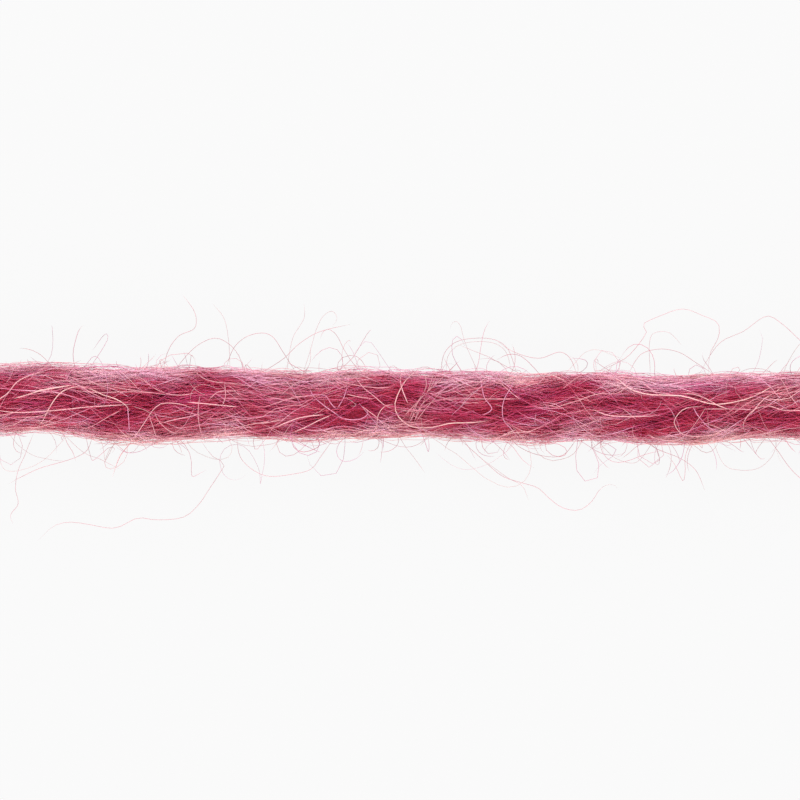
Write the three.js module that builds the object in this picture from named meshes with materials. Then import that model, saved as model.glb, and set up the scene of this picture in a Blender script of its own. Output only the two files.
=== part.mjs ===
// A cut length of soft two-ply wool yarn, lying straight on a flat surface.
// Millimetres. +X runs along the strand, +Y across it and +Z up. The origin is on the surface,
// at mid length, under the strand's middle.
import * as THREE from "three";

// Driving dimensions of the strand.
const LENGTH = 60;
const HALF_WIDE = 1.76; // half the width across both plies, where they lie side by side
const HALF_NARROW = 1.64; // half the width across one ply, before the groove is pressed in
const GROOVE_DEPTH = 0.3; // the furrow where the two plies meet
const GROOVE_SPREAD = 0.42; // radians either side of the furrow's middle
const AXIS_HEIGHT = 1.5; // a little less than the half widths, so the underside is pressed flat

// Driving dimensions of the loose hairs that stand off the strand.
const HAIR_THICK = 0.1;
const HAIR_GAP = 0.3; // the root stays this far off the strand's surface
const HAIR_REST = 0.12; // no hair's middle lies lower than this

// How finely the surfaces are cut.
const AROUND = 28;
const STEPS = 76;
const HAIR_STEPS = 14;

// The strand's middle line as it lies, and its girth against the nominal one.
const ROUTE = [
  { x: -31, y: 0.12, girth: 1.03 },
  { x: -25, y: 0.25, girth: 0.98 },
  { x: -20, y: 0.18, girth: 0.98 },
  { x: -17.5, y: 0.3, girth: 0.98 },
  { x: -15, y: 0.02, girth: 1.04 },
  { x: -12, y: -0.05, girth: 1.05 },
  { x: -9, y: 0.06, girth: 1.04 },
  { x: -5, y: -0.11, girth: 0.97 },
  { x: -1, y: 0.04, girth: 0.99 },
  { x: 2, y: 0, girth: 0.97 },
  { x: 6.2, y: -0.24, girth: 0.98 },
  { x: 9.5, y: -0.08, girth: 1 },
  { x: 13.6, y: -0.31, girth: 0.97 },
  { x: 17.5, y: -0.11, girth: 0.96 },
  { x: 21, y: -0.15, girth: 0.97 },
  { x: 25.5, y: -0.3, girth: 1 },
  { x: 31, y: -0.12, girth: 1.03 },
];

// Where the plies lie side by side, half a turn apart each time. The lay is a little uneven.
const LAY = [
  { x: -39.5, halfTurns: 0 },
  { x: -30.6, halfTurns: 1 },
  { x: -21.8, halfTurns: 2 },
  { x: -12.75, halfTurns: 3 },
  { x: -2.75, halfTurns: 4 },
  { x: 5.5, halfTurns: 5 },
  { x: 14, halfTurns: 6 },
  { x: 22.6, halfTurns: 7 },
  { x: 31.2, halfTurns: 8 },
];

// The longest loose hairs, a row each. round is where a hair leaves, in degrees about the strand:
// 0 at the far edge, 90 on top, 180 at the near edge. It leaves at x = at, heads for a point lead
// further along and rise out, bends at a point trail from its end, as far out, and ends at x = end,
// out from the surface. out 0 is a loop that goes back into the strand.
const HAIRS = [
  { round: 24, at: -28.2, lead: 1.2, rise: 3.4, trail: 2.4, end: -25.6, out: 2.6 },
  { round: 8, at: -24.6, lead: -1, rise: 2.4, trail: 1.6, end: -21.4, out: 0 },
  { round: 14, at: -11.6, lead: -1, rise: 1.7, trail: 3, end: -10.9, out: 3.6 },
  { round: 22, at: -10.9, lead: 0.9, rise: 1.8, trail: -0.5, end: -8, out: 0 },
  { round: 6, at: -8.2, lead: 0.4, rise: 1.6, trail: 1, end: -9.4, out: 3.2 },
  { round: 18, at: -8.3, lead: 0.7, rise: 2.4, trail: -0.6, end: -5.2, out: 0 },
  { round: 10, at: -6.9, lead: 1.6, rise: 1.9, trail: -2, end: -2.4, out: 2.2 },
  { round: 30, at: -5.6, lead: 0.2, rise: 1.6, trail: 0.3, end: -4.8, out: 3.3 },
  { round: 16, at: 2, lead: 0, rise: 2.1, trail: -0.4, end: 5.7, out: 0 },
  { round: 4, at: 5.4, lead: 1.4, rise: 0.4, trail: -0.9, end: 8.8, out: 0.2 },
  { round: 20, at: 10, lead: 3.2, rise: 4.2, trail: 0.9, end: 15.4, out: 0 },
  { round: 34, at: 11.5, lead: 0.8, rise: 1.4, trail: -1.6, end: 15.6, out: 0 },
  { round: 12, at: 15.6, lead: 2.4, rise: 3.2, trail: -1.2, end: 21.6, out: 0.6 },
  { round: 26, at: 24.2, lead: -0.6, rise: 2.6, trail: -2.2, end: 27.4, out: 3.4 },
  { round: 172, at: -27.6, lead: 1.4, rise: 2.8, trail: -1.8, end: -23.4, out: 0 },
  { round: 166, at: -18.6, lead: -1.3, rise: 2.2, trail: 0.9, end: -19.5, out: 4.3 },
  { round: 176, at: -15.6, lead: 0.2, rise: 0.7, trail: 1.6, end: -19.1, out: 1.9 },
  { round: 178, at: -9.9, lead: 2.6, rise: 4.4, trail: 7, end: -18.1, out: 5.2 },
  { round: 164, at: -8.1, lead: 0.2, rise: 2.4, trail: -0.6, end: -3.4, out: 0 },
  { round: 174, at: 0.1, lead: 0.4, rise: 0.8, trail: -0.5, end: 1.3, out: 1.7 },
  { round: 170, at: 3, lead: 3.4, rise: 2.6, trail: -1.9, end: 10.9, out: 2.8 },
  { round: 168, at: 12.4, lead: 1.5, rise: 0.5, trail: -0.6, end: 15.3, out: 2.7 },
  { round: 180, at: 15.6, lead: 0.5, rise: 2, trail: -0.4, end: 18.6, out: 0 },
  { round: 162, at: 21.6, lead: 0.9, rise: 3.6, trail: 2.2, end: 25.2, out: 3.9 },
  { round: 96, at: -22.4, lead: 1.4, rise: 2.2, trail: -0.6, end: -18.8, out: 1.6 },
  { round: 72, at: -13.6, lead: 0.8, rise: 1.6, trail: -0.8, end: -10.4, out: 0 },
  { round: 112, at: -4.2, lead: -0.7, rise: 2.3, trail: 1.2, end: -2.2, out: 2.8 },
  { round: 124, at: 8.6, lead: 1.1, rise: 1.9, trail: -1.4, end: 12.2, out: 1.2 },
  { round: 66, at: 18.2, lead: -0.8, rise: 2.4, trail: 0.9, end: 20.4, out: 2.4 },
];

// The finish of each sub-part.
const STRAND_WOOL = new THREE.MeshStandardMaterial({ color: 0xa8506a, roughness: 0.95, metalness: 0 });
const HAIR_WOOL = new THREE.MeshStandardMaterial({ color: 0xdba6b4, roughness: 0.9, metalness: 0 });

// A column of a table read at any x, as a smooth curve through the rows.
function readAt(rows, column, x) {
  const last = rows.length - 2;
  const found = rows.findIndex((row, n) => n <= last && x <= rows[n + 1].x);
  const n = found < 0 ? last : found;
  const slope = (a, b) => (rows[b][column] - rows[a][column]) / (rows[b].x - rows[a].x);
  const gap = rows[n + 1].x - rows[n].x;
  const t = (x - rows[n].x) / gap;
  const here = slope(Math.max(n - 1, 0), n + 1) * gap;
  const there = slope(n, Math.min(n + 2, rows.length - 1)) * gap;
  const a = rows[n][column];
  const b = rows[n + 1][column];
  return a + t * (here + t * (3 * (b - a) - 2 * here - there + t * (2 * (a - b) + here + there)));
}

// How far the plies have turned at x. They turn left-handed about +X.
const plyTurn = (x) => -Math.PI * readAt(LAY, "halfTurns", x);

// The section's radius at an angle from the line through the two plies' middles.
function sectionRadius(fromPlies) {
  const oval =
    (HALF_WIDE * HALF_NARROW) /
    Math.hypot(HALF_NARROW * Math.cos(fromPlies), HALF_WIDE * Math.sin(fromPlies));
  const fromGroove = Math.acos(Math.min(1, Math.abs(Math.sin(fromPlies))));
  return oval - GROOVE_DEPTH * Math.exp(-((fromGroove / GROOVE_SPREAD) ** 2));
}

// A point at x, at an angle about the strand's middle line counted from +Y towards +Z, and a
// distance beyond its surface.
function pointAt(x, angle, beyond) {
  const radius = readAt(ROUTE, "girth", x) * sectionRadius(angle - plyTurn(x)) + beyond;
  return new THREE.Vector3(
    x,
    readAt(ROUTE, "y", x) + radius * Math.cos(angle),
    AXIS_HEIGHT + radius * Math.sin(angle),
  );
}

// The strand: a cylinder along +X whose rings take the two-ply section, turned with the plies.
// What would lie under the surface is pressed flat on it.
function strandGeometry() {
  const geometry = new THREE.CylinderGeometry(1, 1, LENGTH, AROUND, STEPS).rotateZ(-Math.PI / 2);
  const corners = geometry.getAttribute("position");
  for (let n = 0; n < corners.count; n++) {
    const x = corners.getX(n);
    const reach = Math.hypot(corners.getY(n), corners.getZ(n));
    const angle = Math.atan2(corners.getZ(n), corners.getY(n)) + plyTurn(x);
    const middle = new THREE.Vector3(x, readAt(ROUTE, "y", x), AXIS_HEIGHT);
    const moved = middle.lerp(pointAt(x, angle, 0), reach);
    corners.setXYZ(n, moved.x, moved.y, Math.max(0, moved.z));
  }
  geometry.computeVertexNormals();
  return geometry;
}

// A loose hair: a three-sided thread along the curve that its row gives.
function hairGeometry({ round, at, lead, rise, trail, end, out }) {
  const angle = THREE.MathUtils.degToRad(round);
  const place = (x, beyond) => {
    const point = pointAt(x, angle, HAIR_GAP + beyond);
    point.z = Math.max(HAIR_REST, point.z);
    return point;
  };
  const path = new THREE.CubicBezierCurve3(
    place(at, 0),
    place(at + lead, rise),
    place(end + trail, rise),
    place(end, out),
  );
  const corners = [0, 1, 2].map((n) => {
    const turn = (n * 2 * Math.PI) / 3;
    return new THREE.Vector2(Math.cos(turn), Math.sin(turn)).multiplyScalar(HAIR_THICK / 2);
  });
  return new THREE.ExtrudeGeometry(new THREE.Shape(corners), {
    steps: HAIR_STEPS,
    extrudePath: path,
    bevelEnabled: false,
  });
}

function namedMesh(name, geometry, material) {
  const mesh = new THREE.Mesh(geometry, material);
  mesh.name = name;
  return mesh;
}

const yarn = new THREE.Group();
yarn.add(namedMesh("strand", strandGeometry(), STRAND_WOOL));

const looseHairs = new THREE.Group();
HAIRS.forEach((row, n) => {
  const name = "loose_hair_" + String(n + 1).padStart(2, "0");
  looseHairs.add(namedMesh(name, hairGeometry(row), HAIR_WOOL));
});
yarn.add(looseHairs);

export default yarn;
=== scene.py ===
# %% [markdown]
# # A strand of two-ply wool yarn
#
# The object is a cut length of bulky knitting wool, seen close up from straight above. Two soft
# singles, called plies, are twisted round each other. Each ply is a bundle of wool fibres that run
# along it, dive in and come out again, and hundreds of fibre ends and loops stand off the surface as
# fuzz. So this scene is built from fibres: a plain core fills the middle, and some twenty-five
# thousand thin tubes lie over it, ply by ply.
#
# Everything is in metres, with +X along the strand, +Y across it and +Z up.

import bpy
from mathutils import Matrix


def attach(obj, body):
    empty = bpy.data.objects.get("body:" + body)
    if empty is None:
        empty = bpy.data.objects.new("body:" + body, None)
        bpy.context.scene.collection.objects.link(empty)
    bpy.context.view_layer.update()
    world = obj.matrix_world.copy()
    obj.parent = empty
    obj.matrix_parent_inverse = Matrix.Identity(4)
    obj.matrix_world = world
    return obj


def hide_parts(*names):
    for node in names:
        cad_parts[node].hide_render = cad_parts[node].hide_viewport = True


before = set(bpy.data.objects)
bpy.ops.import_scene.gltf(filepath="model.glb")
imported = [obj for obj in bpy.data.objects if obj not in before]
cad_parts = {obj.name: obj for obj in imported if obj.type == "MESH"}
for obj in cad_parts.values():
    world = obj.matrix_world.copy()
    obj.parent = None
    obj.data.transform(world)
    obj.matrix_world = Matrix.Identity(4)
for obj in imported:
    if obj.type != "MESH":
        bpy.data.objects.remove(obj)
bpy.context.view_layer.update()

# %% The tools of this lesson
import math

import bmesh
import bpy
import numpy as np
from mathutils import Vector

MM = 0.001
TAU = 2 * math.pi


def add_object(name, data):
    """Puts a new object in the scene, at the origin."""
    made = bpy.data.objects.new(name, data)
    bpy.context.collection.objects.link(made)
    return made


# %% [markdown]
# ## The strand's own sizes
#
# The middle line, the girth and the lay of the twist are the ones that the solid was made from, so
# the fibres lie where the solid lies. The two plies look squashed together in section, like a pair
# of fat letter Ds, back to back.

# %% Sizes of the strand
LENGTH = 60 * MM
HALF_WIDE = 1.76 * MM
HALF_NARROW = 1.64 * MM
GROOVE_DEPTH = 0.3 * MM
GROOVE_SPREAD = 0.42  # radians
AXIS_HEIGHT = 1.5 * MM
CUT = LENGTH / 2

ROUTE_Y, GIRTH = 1, 2
ROUTE = np.array([
    (-0.0310, 0.00012, 1.03),
    (-0.0250, 0.00025, 0.98),
    (-0.0200, 0.00018, 0.98),
    (-0.0175, 0.00030, 0.98),
    (-0.0150, 0.00002, 1.04),
    (-0.0120, -0.00005, 1.05),
    (-0.0090, 0.00006, 1.04),
    (-0.0050, -0.00011, 0.97),
    (-0.0010, 0.00004, 0.99),
    (0.0020, 0.0, 0.97),
    (0.0062, -0.00024, 0.98),
    (0.0095, -0.00008, 1.0),
    (0.0136, -0.00031, 0.97),
    (0.0175, -0.00011, 0.96),
    (0.0210, -0.00015, 0.97),
    (0.0255, -0.00030, 1.0),
    (0.0310, -0.00012, 1.03),
])

HALF_TURNS = 1
LAY = np.array([
    (-0.0395, 0),
    (-0.0306, 1),
    (-0.0218, 2),
    (-0.01275, 3),
    (-0.00275, 4),
    (0.0055, 5),
    (0.0140, 6),
    (0.0226, 7),
    (0.0312, 8),
])


# %% Reading the tables
def read_at(rows, column, x):
    """A column of a table at every x, as a smooth curve through the rows."""
    x = np.asarray(x, float)
    at, value = rows[:, 0], rows[:, column]
    n = np.clip(np.searchsorted(at, x) - 1, 0, len(rows) - 2)
    before, after = np.maximum(n - 1, 0), np.minimum(n + 2, len(rows) - 1)
    gap = at[n + 1] - at[n]
    t = (x - at[n]) / gap
    here = (value[n + 1] - value[before]) / (at[n + 1] - at[before]) * gap
    there = (value[after] - value[n]) / (at[after] - at[n]) * gap
    a, b = value[n], value[n + 1]
    return a + t * (here + t * (3 * (b - a) - 2 * here - there + t * (2 * (a - b) + here + there)))


def ply_turn(x):
    """How far the plies have turned at x. They turn left-handed about +X."""
    return -math.pi * read_at(LAY, HALF_TURNS, x)


def oval_radius(half_wide, half_narrow, angle):
    """The radius of an oval at an angle from its wide way."""
    return half_wide * half_narrow / np.hypot(
        half_narrow * np.cos(angle), half_wide * np.sin(angle))


def angle_from_groove(x, angle):
    """How far round the strand the nearer furrow between the plies lies."""
    return np.arccos(np.minimum(1, np.abs(np.sin(angle - ply_turn(x)))))


def radius_at(x, angle, beyond):
    """How far from the middle line a point lies that is beyond the surface at x and angle."""
    oval = oval_radius(HALF_WIDE, HALF_NARROW, angle - ply_turn(x))
    groove = GROOVE_DEPTH * np.exp(-((angle_from_groove(x, angle) / GROOVE_SPREAD) ** 2))
    return read_at(ROUTE, GIRTH, x) * (oval - groove) + beyond


def off_middle(x, angle, radius):
    """A point at x, at an angle about the middle line from +Y to +Z and a distance from it."""
    y = read_at(ROUTE, ROUTE_Y, x) + radius * np.cos(angle)
    z = AXIS_HEIGHT + radius * np.sin(angle)
    return np.stack(np.broadcast_arrays(x, y, z), axis=-1)


def point_at(x, angle, beyond):
    """A point beyond the surface at x and angle."""
    return off_middle(x, angle, radius_at(x, angle, beyond))


# %% [markdown]
# ## The camera
#
# The camera looks straight down. A long lens flattens the view as the close-up does, and the frame
# is 40 mm wide at the height of the strand's middle, so the cut ends lie outside it.

# %% Camera
VIEW_WIDTH = 40 * MM
VIEW_MIDDLE = Vector((0, 0.2 * MM, AXIS_HEIGHT))
LENS_MM = 180
SENSOR_MM = 36

camera_data = bpy.data.cameras.new("camera")
camera_data.lens = LENS_MM
camera_data.sensor_width = SENSOR_MM
camera_data.clip_start = 1 * MM
camera_data.clip_end = 10
camera = add_object("camera", camera_data)
camera.location = VIEW_MIDDLE + Vector((0, 0, VIEW_WIDTH * LENS_MM / SENSOR_MM))
bpy.context.scene.camera = camera
print("camera at", tuple(camera.location))

# %% [markdown]
# ## Finishes
#
# Wool is dull and matt in the mass, but each fibre has a faint gloss. The dyer's raspberry has taken
# unevenly, with magenta locks, salmon ones and a few hairs that are almost undyed. The deep wine in
# the hollows is painted shade, as fibres there are given a deeper shade, and the paler rose of the
# higher fibres and of the long sides is painted light. Each fibre carries two numbers. Its shade
# goes from deep to pale, and its hue mixes a warm colour with a cool one. A slow unevenness is added
# all over, as dye takes more in one place than in another.


# %% Colour and node helpers
def hex_to_linear(text):
    """A colour written as sRGB hex, as the linear numbers that Blender's sockets hold."""
    parts = [int(text[n:n + 2], 16) / 255 for n in (1, 3, 5)]
    return tuple(p / 12.92 if p <= 0.04045 else ((p + 0.055) / 1.055) ** 2.4 for p in parts) + (1,)


def fill_sockets(node, inputs):
    """Fills a node's sockets with values, or links them from other sockets."""
    for name, value in inputs.items():
        if isinstance(value, bpy.types.NodeSocket):
            node.id_data.links.new(value, node.inputs[name])
        else:
            node.inputs[name].default_value = value


def add_node(tree, kind, settings, inputs):
    """Adds a node. settings are its properties; inputs are values, or sockets to link from."""
    node = tree.nodes.new(kind)
    for name, value in settings.items():
        setattr(node, name, value)
    fill_sockets(node, inputs)
    return node


def fill_ramp(node, places, colours):
    """Sets a colour ramp's stops, whose colours are sRGB hex."""
    ramp = node.color_ramp
    while len(ramp.elements) < len(places):
        ramp.elements.new(0.5)
    for element, place, colour in zip(ramp.elements, places, colours):
        element.position = place
        element.color = hex_to_linear(colour)


def new_finish(name, roughness, gloss):
    """A new material, with its node tree and its shader."""
    material = bpy.data.materials.new(name)
    material.use_nodes = True
    shader = material.node_tree.nodes["Principled BSDF"]
    fill_sockets(shader, {"Roughness": roughness, "Specular IOR Level": gloss})
    return material, material.node_tree, shader


# %% Wool finish
# Dyed wool fibre, carded and spun: matt and soft to the eye, with a little light let through. Two
# ramps go from deep to pale, one warm and one cool, and the fibre's hue mixes them. A half-dyed hair
# is smoother, so it shines a little more.
DYED_SHADES = (0.0, 0.25, 0.5, 0.7, 0.86, 1.0)
DYED_WARM = ("#a8233d", "#b8304d", "#c4546b", "#da909a", "#efb2b0", "#fae4d2")
DYED_COOL = ("#a6244c", "#b63162", "#c25684", "#da90b2", "#eeaac6", "#fae2e8")
HAIR_SHADES = (0.0, 0.4, 0.65, 0.8, 1.0)
HAIR_WARM = ("#9c3450", "#c46076", "#d29096", "#d2aaa6", "#f2e0d2")
HAIR_COOL = ("#96345c", "#c05c90", "#ce90ac", "#cea8b4", "#f2dce0")
UNEVEN_DYE_MM = 1.6
UNEVEN_DYE = 0.08
FIBRE_GLOSS = 0.15
WOOL_IOR = 1.55
THROUGH_GLOW = 0.3
GLOW_DEEP = 0.06 * MM
SHEEN_TINT = "#f2c6d0"
# A Mix node has sockets for every kind of data. These are the places of its colour ones.
MIX_COLOUR_A, MIX_COLOUR_B, MIX_COLOUR_OUT = 6, 7, 2


def wool_finish(name, shades, warm_colours, cool_colours, roughness, sheen):
    """A finish for wool fibres, coloured by each fibre's own shade and hue."""
    material, tree, shader = new_finish(name, roughness, FIBRE_GLOSS)
    fill_sockets(shader, {
        "Sheen Weight": sheen,
        "Sheen Roughness": 0.5,
        "Sheen Tint": hex_to_linear(SHEEN_TINT),
        "IOR": WOOL_IOR,
        "Subsurface Weight": THROUGH_GLOW,
        "Subsurface Radius": (1.0, 1.0, 1.0),
        "Subsurface Scale": GLOW_DEEP,
    })
    shade = add_node(tree, "ShaderNodeAttribute", {"attribute_name": "shade"}, {})
    hue = add_node(tree, "ShaderNodeAttribute", {"attribute_name": "hue"}, {})
    place = add_node(tree, "ShaderNodeTexCoord", {}, {})
    dye = add_node(tree, "ShaderNodeTexNoise", {"noise_dimensions": "3D"}, {
        "Vector": place.outputs["Object"],
        "Scale": 1 / (UNEVEN_DYE_MM * MM),
        "Detail": 2.0,
    })
    uneven = add_node(tree, "ShaderNodeMapRange", {}, {
        "Value": dye.outputs["Fac"],
        "To Min": -UNEVEN_DYE,
        "To Max": UNEVEN_DYE,
    })
    total = add_node(tree, "ShaderNodeMath", {"operation": "ADD", "use_clamp": True}, {
        0: shade.outputs["Fac"],
        1: uneven.outputs["Result"],
    })
    warm = add_node(tree, "ShaderNodeValToRGB", {}, {"Fac": total.outputs["Value"]})
    fill_ramp(warm, shades, warm_colours)
    cool = add_node(tree, "ShaderNodeValToRGB", {}, {"Fac": total.outputs["Value"]})
    fill_ramp(cool, shades, cool_colours)
    both = add_node(tree, "ShaderNodeMix", {"data_type": "RGBA"}, {
        0: hue.outputs["Fac"],
        MIX_COLOUR_A: warm.outputs["Color"],
        MIX_COLOUR_B: cool.outputs["Color"],
    })
    fill_sockets(shader, {"Base Color": both.outputs[MIX_COLOUR_OUT]})
    return material


dyed_wool = wool_finish(
    "wool_fibre_dyed_raspberry", DYED_SHADES, DYED_WARM, DYED_COOL, roughness=0.75, sheen=0.08)
hair_wool = wool_finish(
    "wool_hair_half_dyed", HAIR_SHADES, HAIR_WARM, HAIR_COOL, roughness=0.55, sheen=0.15)
print("finishes:", dyed_wool.name, hair_wool.name)


# %% Core finish
# The imported middle of the yarn: the same wool, darkened as painted shade, drawn as fine streaks
# along the strand.
# A streak is as thick as two fibres, since a single one is too fine to show.
STREAK_MM = 0.09
STREAK_LENGTH = 14
STREAK_BUMP = 0.6
STREAK_DEEP = 0.05 * MM


def core_finish():
    """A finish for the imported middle, in streaks that are many times longer than they are wide."""
    material, tree, shader = new_finish("wool_core_painted_shade", roughness=0.85, gloss=0.2)
    place = add_node(tree, "ShaderNodeTexCoord", {}, {})
    stretched = add_node(tree, "ShaderNodeMapping", {}, {
        "Vector": place.outputs["Object"],
        "Scale": (1 / STREAK_LENGTH, 1, 1),
    })
    streaks = add_node(tree, "ShaderNodeTexNoise", {"noise_dimensions": "3D"}, {
        "Vector": stretched.outputs["Vector"],
        "Scale": 1 / (STREAK_MM * MM),
        "Detail": 3.0,
    })
    ramp = add_node(tree, "ShaderNodeValToRGB", {}, {"Fac": streaks.outputs["Fac"]})
    # The streak colours are the wool's deep wine made darker still: painted shade.
    fill_ramp(ramp, (0.3, 0.5, 0.7), ("#921a36", "#a82644", "#b83a56"))
    bump = add_node(tree, "ShaderNodeBump", {}, {
        "Height": streaks.outputs["Fac"],
        "Strength": STREAK_BUMP,
        "Distance": STREAK_DEEP,
    })
    fill_sockets(shader, {"Base Color": ramp.outputs["Color"], "Normal": bump.outputs["Normal"]})
    return material


core_painted_shade = core_finish()

# %% [markdown]
# ## The core
#
# A ring of points is spun along the strand: each step moves it on and turns it with the plies, which
# is how a rope's section travels. Then every ring takes the two-ply outline, a little inside the
# solid's surface, because the fibres lie over it. Its underside is pressed flat.

# %% Core
CORE_AROUND = 72
CORE_STEPS = 160
CORE_INSET = 0.55 * MM
CORE_REST = 0.06 * MM
TO_X = Vector((0, 0, 1)).rotation_difference(Vector((1, 0, 0))).to_matrix()
RING_APART = 10  # more than a full turn in radians


def along_then_round(place):
    """A number that puts places in order along the spun tube, and round it in each ring."""
    ring = round(place.x / LENGTH * 2 * CORE_STEPS)
    return ring * RING_APART + math.atan2(place.z, place.y)


def make_core():
    """Spins a ring along the strand, closes its ends and gives it the two-ply section."""
    bm = bmesh.new()
    ring = bmesh.ops.create_circle(bm, cap_ends=False, radius=1, segments=CORE_AROUND)["verts"]
    bmesh.ops.rotate(bm, verts=ring, cent=(0, 0, 0), matrix=TO_X)
    bmesh.ops.translate(bm, verts=ring, vec=(-CUT, 0, 0))
    edges = list(bm.edges)
    bmesh.ops.spin(
        bm, geom=edges, cent=(0, 0, 0), axis=(1, 0, 0), angle=0, steps=CORE_STEPS,
        dvec=(LENGTH / CORE_STEPS, 0, 0), use_duplicate=False)
    bmesh.ops.holes_fill(bm, edges=[e for e in bm.edges if e.is_boundary], sides=0)
    # Spinning leaves them in another order each run, so they are put in a fixed one.
    bm.verts.sort(key=lambda vert: along_then_round(vert.co))
    bm.faces.sort(key=lambda face: along_then_round(face.calc_center_median()))
    flat = np.array([v.co for v in bm.verts])
    angle = np.arctan2(flat[:, 2], flat[:, 1]) + ply_turn(flat[:, 0])
    shaped = point_at(flat[:, 0], angle, -CORE_INSET)
    shaped[:, 2] = np.maximum(shaped[:, 2], CORE_REST)
    for vert, place in zip(bm.verts, shaped):
        vert.co = place
    bmesh.ops.recalc_face_normals(bm, faces=list(bm.faces))
    for face in bm.faces:
        face.smooth = len(face.verts) == 4
    mesh = bpy.data.meshes.new("strand_core")
    bm.to_mesh(mesh)
    bm.free()
    mesh.materials.append(core_painted_shade)
    return add_object("strand_core", mesh)


core = make_core()
print("core:", len(core.data.polygons), "faces")

# %% [markdown]
# ## How a fibre is made
#
# A wool fibre is a long thin tube, pointed at both ends here so that it seems to come out of the
# mass and go back in. Thousands of them are needed, so each has three sides only, and all the
# fibres of a group are joined in one mesh straight from arrays of points. Each fibre has a small
# cell of its own in the map OFBake, which keeps its colour apart from its neighbours'.

# %% Fibres as one mesh
SIDES = 3
ODD_WAY = (0.31, 0.52, 0.79)  # no fibre runs this way
TAPER = 7  # each tip is a seventh of its fibre
TIP_THICK = 0.35
LOWEST_CORNER = 0.01 * MM
CELL_SIDE, CELL_END = 0.15, 0.1


def unit(vectors):
    """The same directions, each of length 1."""
    return vectors / np.maximum(np.linalg.norm(vectors, axis=-1, keepdims=True), 1e-12)


def fibre_frames(paths):
    """Two directions across each fibre at each of its points, carried along without twisting."""
    along = unit(np.gradient(paths, axis=1))
    across = np.empty_like(paths)
    carried = unit(np.cross(along[:, 0], ODD_WAY))
    for step in range(paths.shape[1]):
        tangent = along[:, step]
        carried = unit(carried - tangent * np.sum(carried * tangent, axis=1, keepdims=True))
        across[:, step] = carried
    return across, np.cross(along, across)


def fibre_mesh(name, wool, material):
    """Joins fibres into one mesh of closed tubes. wool is (paths, thick, shade, hue): paths is
    fibres x points x 3, thick has one number a fibre, and shade and hue have one number a fibre
    or one a point."""
    paths, thick, shade, hue = wool
    fibres, points = paths.shape[:2]
    across, up = fibre_frames(paths)
    t = np.linspace(0, 1, points)
    taper = np.clip(np.minimum(t, 1 - t) * TAPER, TIP_THICK, 1)
    radius = (thick[:, None] / 2 * taper)[:, 1:-1, None]
    rings = []
    for side in range(SIDES):
        turn = TAU * side / SIDES
        rings.append(
            paths[:, 1:-1]
            + radius * (math.cos(turn) * across[:, 1:-1] + math.sin(turn) * up[:, 1:-1]))
    inner = points - 2
    body = np.stack(rings, axis=2).reshape(fibres, inner * SIDES, 3)
    corners = np.concatenate([paths[:, :1], body, paths[:, -1:]], axis=1)
    corners[..., 2] = np.maximum(corners[..., 2], LOWEST_CORNER)
    per_fibre = inner * SIDES + 2

    quads, triangles = [], []
    for side in range(SIDES):
        after = (side + 1) % SIDES
        triangles.append((0, 1 + after, 1 + side))
        last = 1 + (inner - 1) * SIDES
        triangles.append((per_fibre - 1, last + side, last + after))
        for step in range(inner - 1):
            low = 1 + step * SIDES
            high = low + SIDES
            quads.append((low + side, low + after, high + after, high + side))
    quads, triangles = np.array(quads), np.array(triangles)
    offset = (np.arange(fibres) * per_fibre)[:, None, None]
    loops = np.concatenate(
        [(quads + offset).reshape(fibres, -1), (triangles + offset).reshape(fibres, -1)], axis=1)
    sizes = np.concatenate([np.full(len(quads), 4), np.full(len(triangles), 3)])
    starts = np.concatenate([[0], np.cumsum(np.tile(sizes, fibres))[:-1]])

    mesh = bpy.data.meshes.new(name)
    mesh.vertices.add(fibres * per_fibre)
    mesh.vertices.foreach_set("co", corners.ravel())
    mesh.loops.add(loops.size)
    mesh.loops.foreach_set("vertex_index", loops.ravel())
    mesh.polygons.add(len(starts))
    mesh.polygons.foreach_set("loop_start", starts)
    mesh.polygons.foreach_set("use_smooth", np.ones(len(starts), bool))
    for attribute, values in (("shade", shade), ("hue", hue)):
        values = np.broadcast_to(np.clip(values, 0, 1), (fibres, points))
        ringed = np.concatenate(
            [values[:, :1], np.repeat(values[:, 1:-1], SIDES, axis=1), values[:, -1:]], axis=1)
        mesh.attributes.new(attribute, "FLOAT", "POINT").data.foreach_set("value", ringed.ravel())

    height = np.concatenate([[0], np.repeat(np.arange(1, points - 1), SIDES), [points - 1]])
    around = np.concatenate([[1], np.tile(np.arange(SIDES), inner), [1]])
    columns = int(math.ceil(math.sqrt(fibres)))
    cell = 1 / columns
    local = np.stack([
        CELL_SIDE + (1 - 2 * CELL_SIDE) * around / (SIDES - 1),
        CELL_END + (1 - 2 * CELL_END) * height / (points - 1)], axis=-1) * cell
    corner_of = np.concatenate([quads.ravel(), triangles.ravel()])
    cells = np.stack([np.arange(fibres) % columns, np.arange(fibres) // columns], axis=-1) * cell
    mesh.uv_layers.new(name="OFBake")
    mesh.uv_layers["OFBake"].data.foreach_set(
        "uv", (cells[:, None, :] + local[corner_of][None]).astype(np.float32).ravel())
    mesh.update()
    mesh.validate()
    mesh.materials.append(material)
    in_all = fibres * (2 * len(quads) + len(triangles))
    print(name + ":", fibres, "fibres,", in_all, "triangles")
    return add_object(name, mesh)
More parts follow.
